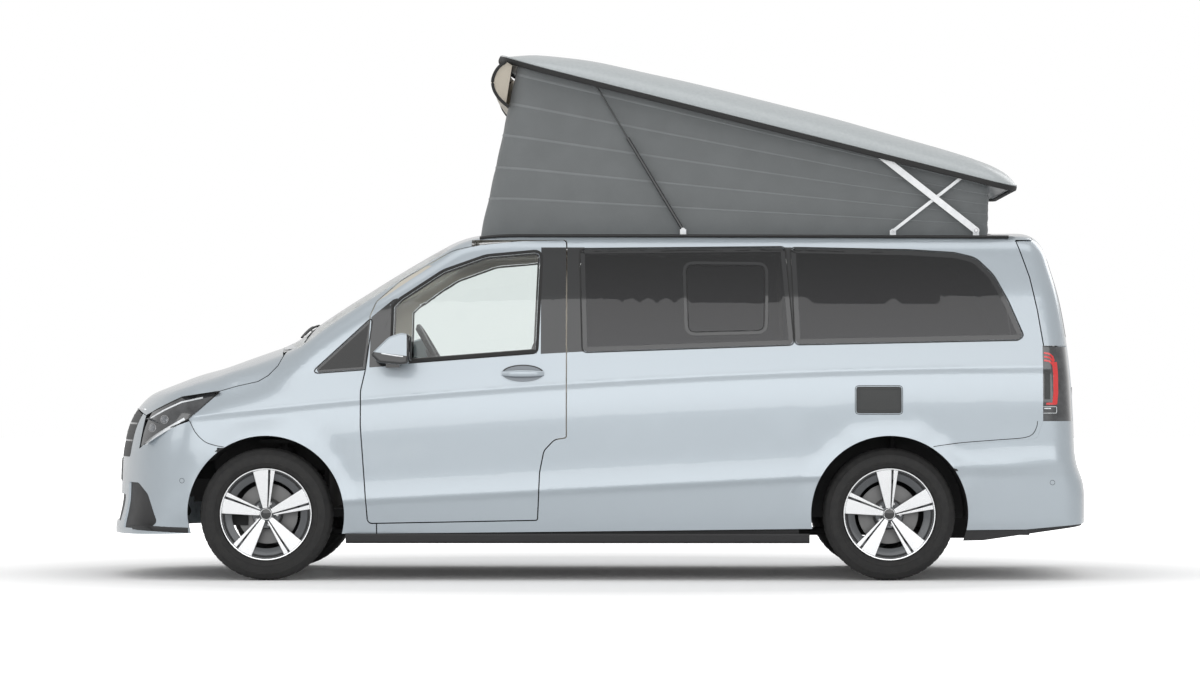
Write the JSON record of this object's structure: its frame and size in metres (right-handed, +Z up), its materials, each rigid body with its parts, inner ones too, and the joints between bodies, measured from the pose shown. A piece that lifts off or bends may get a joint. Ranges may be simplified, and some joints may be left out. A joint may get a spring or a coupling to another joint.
{
  "type": "camper van",
  "caption": "Camper van with a raised pop-up roof on a cloth bellows, opening doors, bonnet and tailgate, steered front wheels and four free-turning wheels.",
  "frame": {"origin": "on the ground, midway between nose and tail and between the sides", "axes": "+X towards the tail, +Y towards the van's right side, +Z up"},
  "size_m": [5.1307, 2.24, 2.7547],
  "materials": {
    "body_paint": "metallic gloss",
    "glass": "tinted",
    "lamp_glass": "clear",
    "tail_lamp": "gloss",
    "black_plastic": "matt",
    "cabin_plastic": "matt",
    "cabin_panel": "satin",
    "roof_canvas": "woven",
    "seat_cloth": "woven",
    "linkage": "satin",
    "alloy": "machined",
    "steel": "brushed",
    "dark_steel": "satin",
    "tyre": "matt"
  },
  "bodies": {
    "van": {"canvas": "roof_canvas", "dashboard": "cabin_plastic", "engine": "dark_steel", "exhaust": "steel", "floor_pan": "dark_steel", "front_bumper": "body_paint", "front_fenders": "body_paint", "front_frame": "dark_steel", "front_seats": "seat_cloth", "front_suspension": "dark_steel", "fuel_tank": "black_plastic", "grille": "black_plastic", "headlamps": "lamp_glass", "intake_grilles": "black_plastic", "kitchen_unit": "cabin_panel", "rear_bench": "seat_cloth", "rear_bumper": "body_paint", "rear_suspension": "dark_steel", "rear_valance": "black_plastic", "roof_brackets": "linkage", "roof_panel": "body_paint", "side_panel_left": "body_paint", "side_panel_right": "body_paint", "side_windows": "glass", "sill_trims": "black_plastic", "sliding_door": "body_paint", "steering_wheel": "cabin_plastic", "tail_lamps": "tail_lamp", "windscreen": "glass", "windscreen_frame": "body_paint"},
    "bonnet": {"bonnet": "body_paint"},
    "left_door": {"door_left": "body_paint", "door_window_left": "glass", "mirror_left": "body_paint"},
    "right_door": {"door_right": "body_paint", "door_window_right": "glass", "mirror_right": "body_paint"},
    "tailgate": {"tailgate": "body_paint", "tailgate_window": "glass"},
    "left_upright": {"knuckle_left": "dark_steel"},
    "right_upright": {"knuckle_right": "dark_steel"},
    "roof_arms": {"roof_arms": "linkage"},
    "raised_roof": {"roof_shell": "body_paint"},
    "roof_links": {"roof_links": "linkage"},
    "strut_tubes": {"strut_tubes": "black_plastic"},
    "strut_rods": {"strut_rods": "steel"},
    "front_left_wheel": {"tyre_front_left": "tyre", "rim_front_left": "alloy", "disc_front_left": "steel"},
    "front_right_wheel": {"tyre_front_right": "tyre", "rim_front_right": "alloy", "disc_front_right": "steel"},
    "rear_left_wheel": {"tyre_rear_left": "tyre", "rim_rear_left": "alloy", "disc_rear_left": "steel"},
    "rear_right_wheel": {"tyre_rear_right": "tyre", "rim_rear_right": "alloy", "disc_rear_right": "steel"}
  },
  "joints": [
    {"name": "bonnet_open", "type": "hinge", "parent": "van", "child": "bonnet", "pos_m": [-1.585, 0, 1.195], "axis": [0, 1, 0], "range_deg": [0, 45]},
    {"name": "left_door_open", "type": "hinge", "parent": "van", "child": "left_door", "pos_m": [-1.14, -0.952, 0.7], "axis": [0, 0, -1], "range_deg": [0, 65]},
    {"name": "right_door_open", "type": "hinge", "parent": "van", "child": "right_door", "pos_m": [-1.14, 0.952, 0.7], "axis": [0, 0, 1], "range_deg": [0, 65]},
    {"name": "tailgate_open", "type": "hinge", "parent": "van", "child": "tailgate", "pos_m": [2.262, 0, 1.808], "axis": [0, -1, 0], "range_deg": [0, 80]},
    {"name": "left_steer", "type": "hinge", "parent": "van", "child": "left_upright", "pos_m": [-1.69, -0.76, 0.34], "axis": [0, 0, 1], "range_deg": [-35, 35]},
    {"name": "right_steer", "type": "hinge", "parent": "van", "child": "right_upright", "pos_m": [-1.69, 0.76, 0.34], "axis": [0, 0, 1], "range_deg": [-35, 35]},
    {"name": "front_left_spin", "type": "hinge", "parent": "left_upright", "child": "front_left_wheel", "pos_m": [-1.69, -0.833, 0.34], "axis": [0, 1, 0], "continuous": true},
    {"name": "front_right_spin", "type": "hinge", "parent": "right_upright", "child": "front_right_wheel", "pos_m": [-1.69, 0.833, 0.34], "axis": [0, 1, 0], "continuous": true},
    {"name": "rear_left_spin", "type": "hinge", "parent": "van", "child": "rear_left_wheel", "pos_m": [1.51, -0.823, 0.34], "axis": [0, 1, 0], "continuous": true},
    {"name": "rear_right_spin", "type": "hinge", "parent": "van", "child": "rear_right_wheel", "pos_m": [1.51, 0.823, 0.34], "axis": [0, 1, 0], "continuous": true},
    {"name": "roof_lift", "type": "hinge", "parent": "van", "child": "roof_arms", "pos_m": [1.977, 0, 1.806], "axis": [0, -1, 0], "range_deg": [0, 38.55], "deforming": ["canvas"]},
    {"name": "roof_tilt", "type": "hinge", "parent": "roof_arms", "child": "raised_roof", "pos_m": [1.48206, 0, 2.19475], "axis": [0, 1, 0], "range_deg": [0, 25.2]},
    {"name": "link_turn", "type": "hinge", "parent": "raised_roof", "child": "roof_links", "pos_m": [1.90715, 0, 2.08512], "axis": [0, 1, 0], "range_deg": [0, 53]},
    {"name": "strut_lean", "type": "hinge", "parent": "van", "child": "strut_tubes", "pos_m": [0.455, 0, 1.809], "axis": [0, -1, 0], "range_deg": [0, 60.5]},
    {"name": "strut_stroke", "type": "slide", "parent": "strut_tubes", "child": "strut_rods", "axis": [0.5148, 0, -0.8573], "range_m": [0, 0.252]}
  ],
  "couplings": [
    {"joint": "right_steer", "follows": "left_steer", "ratio": 1},
    {"joint": "roof_tilt", "follows": "roof_lift", "ratio": 0.63319},
    {"joint": "link_turn", "follows": "roof_lift", "ratio": 1.3499},
    {"joint": "strut_lean", "follows": "roof_lift", "ratio": 1.5398},
    {"joint": "strut_stroke", "follows": "roof_lift", "m_per_rad": 0.37234}
  ]
}
